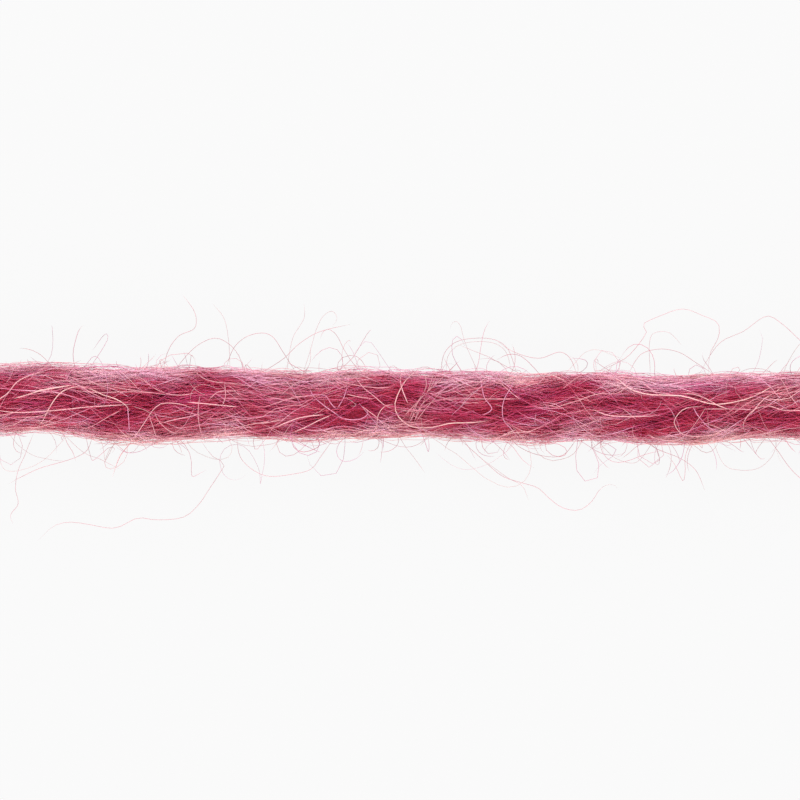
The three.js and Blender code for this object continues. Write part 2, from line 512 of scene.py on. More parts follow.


# %% [markdown]
# ## Patches
#
# The wool isn't even. Between the locks it is thinner and sunk, and the imported middle shows; the
# middle's deep colour and the deeper shade given to the fibres there are painted shade. Elsewhere a
# pale lock or a pink one lies on top. The furrow between the plies is a hollow all along, sunk and
# given painted shade in the same way. A few soft waves make the wool uneven all round, and a short
# table places the patches that the eye picks out on the top of the strand. Towards the two long
# sides the loose wool is given a paler shade, painted light for the light that comes through it
# where the eye looks along more of it, and this comes in patches too.

# %% Patches
# A row each: where along and across it lies in mm, how far it reaches each way, how far across it
# moves for each mm along, and how hollow, how pale and how cool it is.
AT, SIDE, SPAN, SPREAD, SLANT, HOLLOW, PALE, COOL = range(8)
PATCHES = np.array([
    (-20.6, 0, 2.1, 0.54, 0.3, 1, 0, 0),
    (-17, 0.1, 2.2, 0.32, 0, 0.5, 0, 0),
    (-17.2, 0.9, 1.8, 0.28, 0.22, 0, 0.12, 0.2),
    (-13.5, 1.5, 1.9, 0.35, 0, 0, 0.18, 0.6),
    (-16.8, -0.8, 2.4, 0.35, 0, 0, 0.08, 0.1),
    (-13.3, -0.3, 2, 0.6, 0.37, 1, 0, 0),
    (-10.2, 0.8, 1.8, 0.42, 0.25, 0.7, 0, 0),
    (-11.2, -0.5, 1.3, 0.35, 0.1, 0, 0.1, -0.2),
    (-8.4, -0.15, 1.3, 0.25, 0, 0.45, 0, 0),
    (-8, 0.4, 1.2, 0.25, 0.1, 0, 0.08, 0),
    (-6.3, 1.2, 1.3, 0.35, -0.1, 0, 0.18, 0.2),
    (-5.9, -0.8, 1.2, 0.3, 0.1, 0, 0.14, -0.1),
    (-3.9, -0.85, 1.5, 0.38, 0.15, 0.7, 0, 0),
    (-1.8, -0.2, 1.7, 0.54, 0.35, 1, 0, 0),
    (0.3, 0.55, 1, 0.48, 0.35, 1, 0, 0),
    (0.5, -0.5, 0.5, 0.6, 0.5, 0, 0.14, 0),
    (0.6, -1.3, 0.9, 0.3, 0, 0, 0.18, 0.1),
    (3, 1.3, 1.6, 0.35, 0, 0, 0.14, 0.4),
    (3.4, -0.6, 1.8, 0.48, 0.18, 0.7, 0, 0),
    (5.6, -0.1, 1.6, 0.54, 0.3, 1, 0, 0),
    (8, 0.6, 1.8, 0.42, 0.2, 0.75, 0, 0),
    (6, 1.15, 1, 0.25, 0.1, 0, 0.12, -0.2),
    (8.2, 0.05, 1.1, 0.22, 0.1, 0, 0.1, 0),
    (8.3, -0.65, 1.2, 0.25, 0, 0.4, 0, 0),
    (10.4, -0.75, 1.5, 0.35, 0.05, 0, 0.16, 0),
    (11.4, 0.05, 2.1, 0.34, 0.05, 0.65, 0, 0),
    (11.9, 0.95, 1.7, 0.38, 0, 0, 0.26, 0.5),
    (15, 0.95, 1.8, 0.35, 0, 0, 0.06, 0.7),
    (12.5, -1, 1.3, 0.38, 0.1, 0.9, 0, 0),
    (14.2, -0.5, 1.7, 0.5, 0.25, 1, 0, 0),
    (16.4, 0.2, 1.2, 0.28, 0.25, 0.6, 0, 0),
    (18.7, -0.75, 2.3, 0.38, 0, 0.75, 0, 0),
    (18.2, 0.1, 1.7, 0.3, 0.1, 0, 0.14, -0.2),
    (19, 1.3, 1.6, 0.3, 0, 0, 0.1, 0.4),
])
PATCHED_RADIUS_MM = 1.7
TOP_FADE = 1.6
UPPER_FROM = 0.6
FURROW_SPREAD = 0.5
FURROW_HOLLOW = 0.3
WAVE_HOLLOW, WAVE_PALE, WAVE_COOL = 0.18, 0.06, 0.2
# Painted light: the loose wool is made paler towards the two long sides, for light that comes
# through it there.
FLANK_PAINTED_LIGHT = 0.27
EDGE_PAINTED_LIGHT = 0.25
PALEST_WITH_PAINTED_LIGHT = 0.84
EDGE_COOL = 0.25
PATCHY = 0.5
LEAST_PATCHY, MOST_PATCHY = 0.3, 1.6

wave_random = np.random.default_rng(5)
WAVES = 9
WAVE_CREST = 1.4
WAVE_LENGTH = wave_random.uniform(2.2, 7.0, WAVES) * MM
WAVE_TURNS = wave_random.integers(-3, 4, WAVES)
WAVE_START = wave_random.uniform(0, TAU, (3, WAVES))


def soft_waves(x, angle, which):
    """A slow unevenness over the strand's surface, about -1 to 1. which picks one of three."""
    total = np.zeros(np.broadcast_shapes(np.shape(x), np.shape(angle)))
    for length, rounds, start in zip(WAVE_LENGTH, WAVE_TURNS, WAVE_START[which]):
        total = total + np.sin(TAU * x / length + rounds * angle + start)
    return total / math.sqrt(WAVES) / WAVE_CREST


def patchiness(x, angle):
    """How hollow, how pale and how cool the wool is at x and at an angle about the strand."""
    on_top = np.clip(np.sin(angle) * TOP_FADE, 0, 1)
    upper = np.clip(UPPER_FROM + np.sin(angle), 0, 1)
    furrow = np.exp(-((angle_from_groove(x, angle) / FURROW_SPREAD) ** 2))
    # A hollow sinks the wool, and its fibres are given a deeper shade: painted shade in the furrow
    # and the hollows.
    hollow = FURROW_HOLLOW * upper * furrow
    hollow = hollow + WAVE_HOLLOW * upper * np.maximum(0, soft_waves(x, angle, 0))
    pale = WAVE_PALE * soft_waves(x, angle, 1)
    cool = WAVE_COOL * soft_waves(x, angle, 2) + EDGE_COOL * np.cos(angle) ** 3
    y = read_at(ROUTE, ROUTE_Y, x) / MM + PATCHED_RADIUS_MM * np.cos(angle)
    for row in PATCHES:
        along = (x / MM - row[AT]) / row[SPAN]
        across = (y - row[SIDE] - row[SLANT] * (x / MM - row[AT])) / row[SPREAD]
        near = on_top * np.exp(-(along ** 2 + across ** 2))
        if row[HOLLOW] > 0:
            hollow = np.maximum(hollow, row[HOLLOW] * near)
        else:
            hollow = hollow * (1 - near)
        pale = pale + row[PALE] * near
        cool = cool + row[COOL] * near
    return np.clip(hollow, 0, 1), pale, cool


def painted_edge_light(x, angle):
    """How much paler the loose wool is made towards the two long sides, painted light for light
    coming through it. It comes in soft patches.
    """
    patchy = np.clip(1 + PATCHY * soft_waves(x, angle, 2), LEAST_PATCHY, MOST_PATCHY)
    return patchy * (FLANK_PAINTED_LIGHT * np.cos(angle) ** 2 + EDGE_PAINTED_LIGHT * np.cos(angle) ** 6)


print("patches:", len(PATCHES), "placed by hand, over", WAVES, "soft waves")

# %% [markdown]
# ## The wool of the plies
#
# Fibres run along a ply and slowly round it. The singles were spun one way and plied the other, so
# on the strand's surface the two turns nearly cancel, and the fibres lie almost along it. They come
# in locks: a few dozen fibres that share a direction, a depth and a dye lot. A fibre starts a
# little below the ply's surface, comes up and goes back in. Two layers are laid: a deep one, wine
# red, and a finer one over it.

# %% Ply shape
PLY_OFFSET = 0.48 * MM
PLY_DEEP = 1.24 * MM
PLY_WIDE = 1.74 * MM
PLY_SEAM = 0.02 * MM
PRESSED_BELOW = 0.3 * MM
FIBRE_REST = 0.04 * MM


def press_flat(places):
    """What would lie under the strand is squashed against the surface it lies on."""
    z = places[..., 2]
    room = PRESSED_BELOW - FIBRE_REST
    squashed = FIBRE_REST + room * np.exp((np.minimum(z, PRESSED_BELOW) - PRESSED_BELOW) / room)
    places[..., 2] = np.where(z < PRESSED_BELOW, squashed, z)
    return places


def ply_point(x, ply, around, rise):
    """A point on a ply: around is the angle about the ply's middle from its outermost line."""
    deep_way, wide_way = np.cos(around) / PLY_DEEP, np.sin(around) / PLY_WIDE
    length = np.hypot(deep_way, wide_way)
    deep = PLY_OFFSET + PLY_DEEP * np.cos(around) + rise * deep_way / length
    deep = np.maximum(deep, PLY_SEAM)
    wide = PLY_WIDE * np.sin(around) + rise * wide_way / length
    turn = ply_turn(x) + math.pi * ply
    girth = read_at(ROUTE, GIRTH, x)
    y = read_at(ROUTE, ROUTE_Y, x) + girth * (deep * np.cos(turn) - wide * np.sin(turn))
    z = AXIS_HEIGHT + girth * (deep * np.sin(turn) + wide * np.cos(turn))
    return press_flat(np.stack([x, y, z], axis=-1))


def angle_about(paths):
    """The angle of each point about the strand's middle line."""
    return np.arctan2(
        paths[..., 2] - AXIS_HEIGHT, paths[..., 1] - read_at(ROUTE, ROUTE_Y, paths[..., 0]))


# %% Locks
CUT_MM = CUT / MM
START_INSIDE_MM = 1.5
UNEVEN_CUT_MM = (-0.25, 0.2)
KEPT_AT_SIDES, KEPT_MORE_ON_TOP, KEPT_LEAST = 0.8, 0.6, 0.35
COOLEST, COOL_SPREAD, WARM_SPREAD = 0.95, 0.6, 0.5
WAVE_ROUND = (0.015, 0.1)
WAVE_MM = (1.8, 4.5)


def in_locks(random, locks, in_lock, middle, over_locks, within):
    """One number a fibre: a middle, plus what its lock shares, plus its own."""
    shared = np.repeat(random.normal(0, over_locks, locks), in_lock)
    return middle + shared + random.normal(0, within, locks * in_lock)


def lock_hues(random, locks, in_lock, cool_share):
    """Most locks are warm and some are cool, with a little of the other in each."""
    cool = np.repeat(random.uniform(0, 1, locks) < cool_share, in_lock)
    own = random.uniform(0, 1, locks * in_lock)
    return np.where(cool, COOLEST - COOL_SPREAD * own ** 2, WARM_SPREAD * own ** 2)[:, None]


def fibre_spans(random, middle_x, reach, points):
    """x of every point of fibres that run along the strand, trimmed at the cut ends."""
    uneven = random.uniform(*UNEVEN_CUT_MM, (2, len(reach)))
    inside = CUT_MM - START_INSIDE_MM
    low = np.clip(middle_x - reach / 2, -CUT_MM + uneven[0], inside) * MM
    high = np.clip(middle_x + reach / 2, -inside, CUT_MM - uneven[1]) * MM
    return low[:, None] + (high - low)[:, None] * np.linspace(0, 1, points)[None, :]


def thinned_below(random, angle, *per_fibre):
    """Keeps every fibre on top and fewer towards the underside, which is pressed flat."""
    share = np.clip(KEPT_AT_SIDES + KEPT_MORE_ON_TOP * np.sin(angle), KEPT_LEAST, 1)
    kept = random.uniform(0, 1, len(angle)) < share
    return [values[kept] for values in per_fibre]


def crimp(random, count, x, size, wave_mm):
    """The natural wave of wool: a gentle wobble along each fibre, a different one for each."""
    wave = TAU / (random.uniform(*wave_mm, count)[:, None] * MM)
    sizes = random.uniform(*size, count)[:, None]
    return sizes * np.sin(wave * x + random.uniform(0, TAU, count)[:, None])


MIDDLES_MM = (-31, 31)
LOCK_LEAN = 0.7


def lay_in_locks(
        random, locks, in_lock, around, scatter, reach, turn, lean, points,
        wave=WAVE_ROUND, wave_mm=WAVE_MM):
    """x and angle of every point of fibres in locks. around is the range of angles for the locks,
    and scatter is how far a fibre lies from its lock's middle, in mm along and radians round."""
    count = locks * in_lock
    middle_x = np.repeat(random.uniform(*MIDDLES_MM, locks), in_lock)
    middle_x = middle_x + random.normal(0, scatter[0], count)
    start = np.repeat(random.uniform(*around, locks), in_lock)
    start = start + random.normal(0, scatter[1], count)
    x = fibre_spans(random, middle_x, random.uniform(*reach, count), points)
    turns = in_locks(random, locks, in_lock, turn, LOCK_LEAN * lean / MM, lean / MM)
    angle = start[:, None] + turns[:, None] * (x - middle_x[:, None] * MM)
    return x, angle + crimp(random, count, x, wave, wave_mm)


# %% Ply wool
PLY_AROUND = (-2.1, 2.1)
PLY_SCATTER = (1.4, 0.15)
PLY_REACH_MM = (3.0, 7.5)
PLY_DIVE_MM = (0.06, 0.25)
PLY_PALEST = 0.5
FIBRE_TURN = 0.46 / MM
PLY_WAVE_DEEP = (0, 0.03 * MM)
HOLLOW_DEPTH = 0.2 * MM
# Painted shade: how much deeper the shade of fibres in a hollow is made.
HOLLOW_PAINTED_SHADE = 0.55
EDGE_THINNER = 0.1 * MM


def ply_wool(seed, ply, locks, in_lock, rise, shade, lean, cool_share, thick, points):
    """Fibres of one ply, in locks. rise and shade are (middle, over locks, within a lock)."""
    random = np.random.default_rng(seed)
    count = locks * in_lock
    x, angle = lay_in_locks(
        random, locks, in_lock, PLY_AROUND, PLY_SCATTER, PLY_REACH_MM, FIBRE_TURN, lean, points)
    top = in_locks(random, locks, in_lock, *rise) * MM
    dive = random.uniform(*PLY_DIVE_MM, count) * MM
    t = np.linspace(-1, 1, points)[None, :]
    depth = top[:, None] - dive[:, None] * np.abs(t) ** 3
    depth = depth + crimp(random, count, x, PLY_WAVE_DEEP, WAVE_MM)
    about = angle_about(ply_point(x, ply, angle, depth))
    hollow, pale, cool = patchiness(x, about)
    sunk = HOLLOW_DEPTH * hollow + EDGE_THINNER * np.cos(about) ** 6
    paths = ply_point(x, ply, angle, depth - sunk)
    # Fibres in a hollow are given a deeper shade: painted shade.
    shades = in_locks(random, locks, in_lock, *shade)[:, None] + pale - HOLLOW_PAINTED_SHADE * hollow
    # Towards the long sides the shade is made paler: painted light.
    shades = np.minimum(np.minimum(shades, PLY_PALEST) + painted_edge_light(x, about), PALEST_WITH_PAINTED_LIGHT)
    hues = lock_hues(random, locks, in_lock, cool_share) + cool
    thicks = random.uniform(*thick, count) * MM
    return thinned_below(random, about[:, points // 2], paths, thicks, shades, hues)


plies = []
for ply, letter in enumerate("ab"):
    deep_wool = ply_wool(
        11 + ply, ply, locks=80, in_lock=24, rise=(-0.38, 0.03, 0.03), shade=(0.26, 0.07, 0.05),
        lean=0.08, cool_share=0.15, thick=(0.06, 0.1), points=7)
    fine_wool = ply_wool(
        21 + ply, ply, locks=220, in_lock=31, rise=(-0.25, 0.03, 0.03), shade=(0.26, 0.06, 0.035),
        lean=0.1, cool_share=0.12, thick=(0.03, 0.05), points=8)
    plies.append(fibre_mesh("ply_" + letter + "_deep_wool", deep_wool, dyed_wool))
    plies.append(fibre_mesh("ply_" + letter + "_fine_wool", fine_wool, dyed_wool))

# %% [markdown]
# ## The loose cover
#
# Over both plies lies a loose cover of fibres that have worked their way out. They bridge the
# furrow, bow away from the surface and cross each other at small angles. They thin out with height,
# so the strand has no hard edge, and the higher ones are given a paler shade, painted light for the
# light that comes through them. The outermost are short and curly, like down.

# %% Loose cover
COVER_HALF_WIDE = 1.75 * MM
COVER_HALF_NARROW = 1.7 * MM
HIGHEST_COVER_MM = 0.22
# Painted light: higher fibres are made paler, for light that comes through them.
HIGHER_PAINTED_PALER = 0.7  # for each mm of height
COVER_AROUND = (-0.9, math.pi + 0.9)
COVER_SCATTER = (1.6, 0.18)
COVER_TURN = -0.03 / MM
COVER_WAVE_DEEP = (0, 0.04 * MM)
BOW_SHARE = (0.3, 1.0)
BOW_SHAPE = 2.5


def over_cover(x, angle, beyond):
    """A point beyond the oval that the loose cover makes over both plies and their furrow."""
    oval = oval_radius(COVER_HALF_WIDE, COVER_HALF_NARROW, angle - ply_turn(x))
    return press_flat(off_middle(x, angle, read_at(ROUTE, GIRTH, x) * oval + beyond))


def cover_wool(
        seed, locks, in_lock, lowest, above, shade, lean, cool_share, bow, thick, points,
        reach=(2.5, 8.0), wave=WAVE_ROUND, wave_mm=WAVE_MM, palest=1.0):
    """Loose fibres over both plies, in locks. lowest, above (the mean height over the lowest),
    bow, thick, reach and wave_mm are in mm, and wave is in radians."""
    random = np.random.default_rng(seed)
    count = locks * in_lock
    x, angle = lay_in_locks(
        random, locks, in_lock, COVER_AROUND, COVER_SCATTER, reach, COVER_TURN, lean, points,
        wave, wave_mm)
    hollow, pale, cool = patchiness(x, angle)
    top = (lowest + np.mod(random.exponential(above, count), HIGHEST_COVER_MM - lowest)) * MM
    t = np.linspace(-1, 1, points)[None, :]
    bows = random.uniform(*BOW_SHARE, count)[:, None] * bow * MM
    depth = top[:, None] - bows * np.abs(t) ** BOW_SHAPE
    depth = depth + crimp(random, count, x, COVER_WAVE_DEEP, wave_mm) - HOLLOW_DEPTH * hollow
    paths = over_cover(x, angle, depth)
    shades = in_locks(random, locks, in_lock, *shade)[:, None] + pale
    # Fibres in a hollow are given a deeper shade: painted shade.
    # Higher fibres are given a paler shade: painted light.
    shades = shades + HIGHER_PAINTED_PALER * (depth / MM - lowest) - HOLLOW_PAINTED_SHADE * hollow
    # Towards the long sides the shade is made paler: painted light.
    shades = np.minimum(np.minimum(shades, palest) + painted_edge_light(x, angle), PALEST_WITH_PAINTED_LIGHT)
    hues = lock_hues(random, locks, in_lock, cool_share) + cool
    thicks = random.uniform(*thick, count) * MM
    return thinned_below(random, angle[:, points // 2], paths, thicks, shades, hues)


rose_cover = fibre_mesh("loose_cover_rose", cover_wool(
    41, locks=220, in_lock=22, lowest=-0.28, above=0.08, shade=(0.26, 0.06, 0.035), lean=0.1,
    cool_share=0.15, bow=0.15, thick=(0.028, 0.042), points=8, palest=0.62), dyed_wool)
pale_cover = fibre_mesh("loose_cover_pale", cover_wool(
    42, locks=200, in_lock=6, lowest=-0.24, above=0.12, shade=(0.4, 0.06, 0.06), lean=0.11,
    cool_share=0.35, bow=0.2, thick=(0.026, 0.038), points=9), dyed_wool)
down = fibre_mesh("down", cover_wool(
    43, locks=940, in_lock=5, lowest=-0.26, above=0.26, shade=(0.35, 0.06, 0.05), lean=0.24,
    cool_share=0.4, bow=0.2, thick=(0.02, 0.03), points=9, reach=(1.0, 3.2),
    wave=(0.02, 0.07), wave_mm=(1.3, 2.8)), dyed_wool)

# %% [markdown]
# ## The cut ends
#
# Where the strand is cut, its inside shows: fibre ends, close together like a brush, some a little
# longer than others. Short fibres are set all over the two end faces and stand out of the core.

# %% Wool at the cut ends
END_DEEP = 1.0 * MM
END_OUT = (0.03 * MM, 0.35 * MM)
END_SPLAY = 0.06
END_LEAN = 0.06
END_FILL = 0.94
END_BLUNT = 2.5


def cut_end_wool(seed, count, thick, shade, cool_share, points):
    """Fibre ends over both cut faces: one fibre at the right-hand end, the next at the left.
    Their points crowd towards the tip, which makes it blunt."""
    random = np.random.default_rng(seed)
    way = np.where(np.arange(count) % 2, 1, -1)[:, None]
    t = 1 - np.linspace(1, 0, points)[None, :] ** END_BLUNT
    x = way * (CUT - END_DEEP + (END_DEEP + random.uniform(*END_OUT, count)[:, None]) * t)
    start = random.uniform(0, TAU, count)[:, None]
    angle = start + random.normal(0, END_LEAN, count)[:, None] * t
    share = np.sqrt(random.uniform(0, END_FILL, count))[:, None] * (1 + END_SPLAY * t)
    paths = press_flat(off_middle(x, angle, share * radius_at(x, angle, 0)))
    shades = random.normal(*shade, count)[:, None]
    hues = lock_hues(random, count, 1, cool_share)
    return paths, random.uniform(*thick, count) * MM, shades, hues


cut_ends = fibre_mesh("cut_end_wool", cut_end_wool(
    51, 2600, thick=(0.08, 0.14), shade=(0.32, 0.12), cool_share=0.25, points=5), dyed_wool)

# %% [markdown]
# ## Hairs that lie on top
#
# A few coarse hairs took next to no dye. They cross the strand at any angle, cream or pale pink,
# and catch the eye first, so those in the middle of the view are placed one by one: each is a short
# list of places as the eye sees it from above, and its height is worked out from the strand's
# section. The rest are strewn.

# %% Hairs placed one by one
# A row each: a kind of hair, then x and y in mm of each place that it passes.
LYING_HAIRS = [
    ("cream", -19.2, 0.25, -18.5, 0.45, -17.7, 0.7, -16.8, 0.85, -16, 0.98),
    ("salmon", -16, 0.95, -15.2, 1.08, -14.4, 1.3, -13.8, 1.52, -13, 1.75, -12.1, 1.85),
    ("cream", -18.2, -1.25, -17.8, -0.9, -17.45, -0.3, -17.1, 0.25, -16.7, 0.65, -16.1, 0.85,
        -15.5, 0.8, -14.8, 0.48, -14.1, 0.25, -13.6, -0.05, -13.4, -0.35, -13.55, -0.55),
    ("pale", -20.4, -0.25, -19.1, -0.42, -18, -0.38, -16.7, -0.28, -15.5, -0.15, -14.4, -0.08,
        -13.1, 0),
    ("pale", -20.3, 0, -19.5, 0.5, -19, 1.1, -18.3, 1.45, -17.6, 1.6),
    ("pale", -14.4, -3.7, -14, -2.6, -13.6, -2.1, -13.1, -1.5, -12.6, -0.8, -12.25, -0.3, -11.9,
        0, -11.3, 0.05, -10.7, -0.05, -10.1, -0.3),
    ("salmon", -13.5, 1.45, -12.8, 1.25, -12.3, 0.85, -11.5, 0.5, -10.7, 0.45, -10, 0.6),
    ("salmon", -15, 1, -14, 0.8, -13, 0.65, -11.5, 0.45),
    ("salmon", -10.4, 1.8, -9.8, 1.3, -9.2, 1.1, -8, 1),
    ("salmon", -9.9, 0.5, -10, -0.3, -9.95, -1.1, -9.7, -2),
    ("salmon", -8.7, 1, -8.65, 0.4, -8.8, -0.1),
    ("pale", -10.6, 0.1, -9.5, 0, -8, -0.15),
    ("salmon", -9.5, 0.2, -9, 0.6, -8, 0.65),
    ("salmon", -12.2, -0.3, -12, -0.8, -11.5, -1.3, -11, -1.5),
    ("salmon", -12.45, -0.5, -12.3, -1, -12.1, -1.7),
    ("pink", -13.5, -0.1, -13.45, -0.8, -13.45, -1.4),
    ("salmon", -16, -1.3, -15.3, -1.1, -14.4, -0.6, -13.8, -0.3),
    ("pink", -16, 1.7, -15.6, 1.8, -14.8, 1.9, -14, 1.85, -13.4, 1.6),
    ("pink", -16.6, 1.1, -16.3, 1.7, -15.7, 1.8),
    ("pale", -6.3, -1.2, -5.2, -0.75, -4.5, -0.6, -3.7, -0.52),
    ("pale", -5.4, -1.45, -4.7, -1.15, -4, -0.8, -3.4, -0.55),
    ("pink", -4.5, 0.8, -4.3, 0.4, -3.8, -0.05, -3.3, -0.4, -3, -0.6),
    ("pink", -4.9, 0.3, -4.3, 0.45, -3.7, 0.4, -3.4, 0, -3.1, -0.3),
    ("pink", -2.6, 0.9, -2.8, 0.3, -3.15, -0.3),
    ("pink", -3.2, -0.55, -2.7, -0.75, -2, -0.75, -1.6, -0.5, -1.7, -0.2),
    ("salmon", -3.7, 1.6, -3, 1.15, -2.3, 0.95, -1.6, 0.85, -1, 0.8, -0.3, 0.85),
    ("salmon", -2.3, 1.4, -1.8, 0.8, -1.3, 0.4, -0.7, -0.1, -0.3, -0.25),
    ("salmon", -2.7, 0.5, -2, 0.35, -1.3, 0.25),
    ("salmon", -1.9, -0.1, -1.5, -0.4, -1.1, -0.7),
    ("pale", -1.3, -1.6, -1.15, -1.1, -1.1, -0.6, -0.8, -0.15, -0.3, 0),
    ("cream", 1, 1.8, 0.4, 1.3, 0, 0.7, -0.25, 0, -0.15, -0.5, 0.2, -0.9, 0.7, -1.15, 1.6, -1.15,
        2.5, -0.95, 3.5, -0.92, 4.2, -0.85, 4.55, -0.75),
    ("pale", 0.08, 1.6, 0.02, 1.15, 0.12, 0.7, 0.4, 0),
    ("salmon", 0.4, -0.9, 0.8, 0, 1.5, 0.8, 2, 1.9),
    ("salmon", 0.5, -1.05, 0.9, 0.1, 1.9, 1.1, 3, 2.2),
    ("salmon", 0.6, -1.1, 1.2, 0.2, 1.6, 1.3, 1.75, 1.9),
    ("salmon", 0.65, -1, 1.1, 0, 2.2, 0.75, 3.9, 1.5),
    ("salmon", 0.7, -1, 1.3, -0.2, 2.4, 0.9, 3.4, 1.3),
    ("salmon", 0.3, -1.3, 0.7, -0.5, 1.5, 0.05, 2.9, 0.4),
    ("salmon", 0.2, -0.6, 1, 0.3, 1.3, 0.9, 1.2, 1.6),
    ("salmon", 1.6, 0.2, 3, 0.25, 4.5, 0.25, 6, 0.25),
    ("pink", 4, 1.45, 4.05, 0.9, 4.2, 0.3, 4.55, -0.25, 4, -0.6),
    ("pink", 5.7, 1.3, 5.5, 0.8, 5.2, 0.3, 5.08, -0.2, 5.15, -0.8, 5.5, -1.2, 5.9, -1.7),
    ("salmon", 4.8, 1.3, 5.1, 0.95, 5.6, 0.5, 6, 0.2),
    ("cream", 4.6, -1.85, 5.1, -1.55, 5.75, -1.27),
    ("salmon", 8, 0.7, 8.8, 1.3, 9.5, 1.55, 10.3, 1.35, 11, 1),
    ("salmon", 8, -0.1, 8.9, 0.2, 9.8, 0.5, 10.8, 0.55, 11.5, 1.05, 12, 1.12, 12.4, 0.8, 12.9,
        0.5),
    ("salmon", 8, -1.5, 9, -1.1, 9.8, -0.8, 10.9, -0.55),
    ("pale", 9.5, -0.25, 10.3, -0.55, 11.3, -0.62, 12.3, -0.6, 13, -0.55),
    ("cream", 10, 1.35, 10.7, 1.3, 11.4, 0.75, 12.3, 0.48, 13.2, 0.44, 14, 0.4, 14.8, 0.18, 15.6,
        -0.02, 16.3, 0.05, 17.2, 0.25, 18, 0.6, 18.6, 0.92, 19.2, 1.05),
    ("pale", 13.9, 0.5, 14.6, 0.48, 15.2, 0.25, 15.8, -0.08, 16.3, -0.25),
    ("pale", 15.2, -0.13, 14.5, -0.15, 14, -0.3, 13.6, -0.85, 13.8, -1.3, 14.1, -1.52, 14.8, -1.6,
        15.6, -1.5, 16.4, -1.1),
    ("salmon", 13.8, -1.85, 14.4, -1.3, 14.9, -0.6, 15.2, -0.1),
    ("pink", 14.5, -0.1, 14.8, -0.6, 15.4, -1.2, 15.9, -1.3),
    ("salmon", 15, -0.25, 16.7, -0.25, 17.6, -0.3),
    ("pale", 12.3, -1.55, 13, -1.75, 13.9, -1.85),
    ("pale", 20.4, -0.3, 19, -0.3, 18.3, -0.1, 17.6, -0.25, 17.1, -0.8, 17.05, -1.2, 17.25, -1.5),
    ("pale", 17.3, -0.6, 18, 0.2, 18.7, 0.65, 19.1, 1),
    ("salmon", 18.6, 1.55, 19, 1.15, 19.3, 0.5, 19.8, -0.2),
]

# Thickness in mm, shade and hue of each kind.
HAIR_KINDS = {
    "cream": (0.064, 0.87, 0.1),
    "pale": (0.052, 0.82, 0.15),
    "salmon": (0.042, 0.72, 0.1),
    "pink": (0.05, 0.66, 0.8),
    "fine": (0.03, 0.72, 0.3),
    "faint": (0.022, 0.76, 0.3),
}
SETTLING_STEPS = 6
SWAYS = (0.6, 1.4)
SWAY_SHARE = (0.4, 1)


def smooth_route(places, points):
    """Points spaced evenly along a smooth curve through places, which are x, y, x, y and so on."""
    places = np.reshape(places, (-1, 2))
    steps = np.linalg.norm(np.diff(places, axis=0), axis=1)
    rows = np.column_stack([np.concatenate([[0], np.cumsum(steps)]), places])
    along = np.linspace(0, rows[-1, 0], points)
    return np.stack([read_at(rows, column, along) for column in range(1, rows.shape[1])], axis=-1)


def seen_from_above(x, y, above):
    """The point over x and y that lies above the strand's surface, or level with its middle
    where it lies beside the strand. The angle is guessed, and a few steps settle it."""
    sideways = y - read_at(ROUTE, ROUTE_Y, x)
    angle = np.full_like(x, math.pi / 2)
    for _ in range(SETTLING_STEPS):
        below = over_cover(x, angle, above)
        radius = np.hypot(below[..., 1] - y + sideways, below[..., 2] - AXIS_HEIGHT)
        angle = np.arccos(np.clip(sideways / radius, -1, 1))
    return np.stack([x, y, AXIS_HEIGHT + radius * np.sin(angle)], axis=-1)


def placed_hairs(rows, above, points, sway):
    """Hairs through the places in rows. sway is how far they wave up and down."""
    random = np.random.default_rng(61)
    paths, kinds = [], []
    for kind, *places in rows:
        route = smooth_route(places, points) * MM
        path = seen_from_above(route[:, 0], route[:, 1], above)
        t = np.linspace(0, 1, points)
        wave = np.sin(TAU * (t * random.uniform(*SWAYS) + random.uniform(0, 1)))
        path[:, 2] = path[:, 2] + sway * wave * random.uniform(*SWAY_SHARE)
        path[:, 2] = np.maximum(path[:, 2], FIBRE_REST)
        paths.append(path)
        kinds.append(HAIR_KINDS[kind])
    thick, shade, hue = np.array(kinds).T
    return np.array(paths), thick * MM, shade[:, None], hue[:, None]


lying_hairs = fibre_mesh(
    "lying_hairs", placed_hairs(LYING_HAIRS, 0, points=22, sway=0.04 * MM), dyed_wool)
strewn_hairs = fibre_mesh("strewn_hairs", cover_wool(
    44, locks=90, in_lock=1, lowest=-0.15, above=0.06, shade=(0.6, 0.08, 0.05), lean=0.12,
    cool_share=0.3, bow=0.2, thick=(0.038, 0.06), points=14, reach=(3.0, 8.0)), dyed_wool)
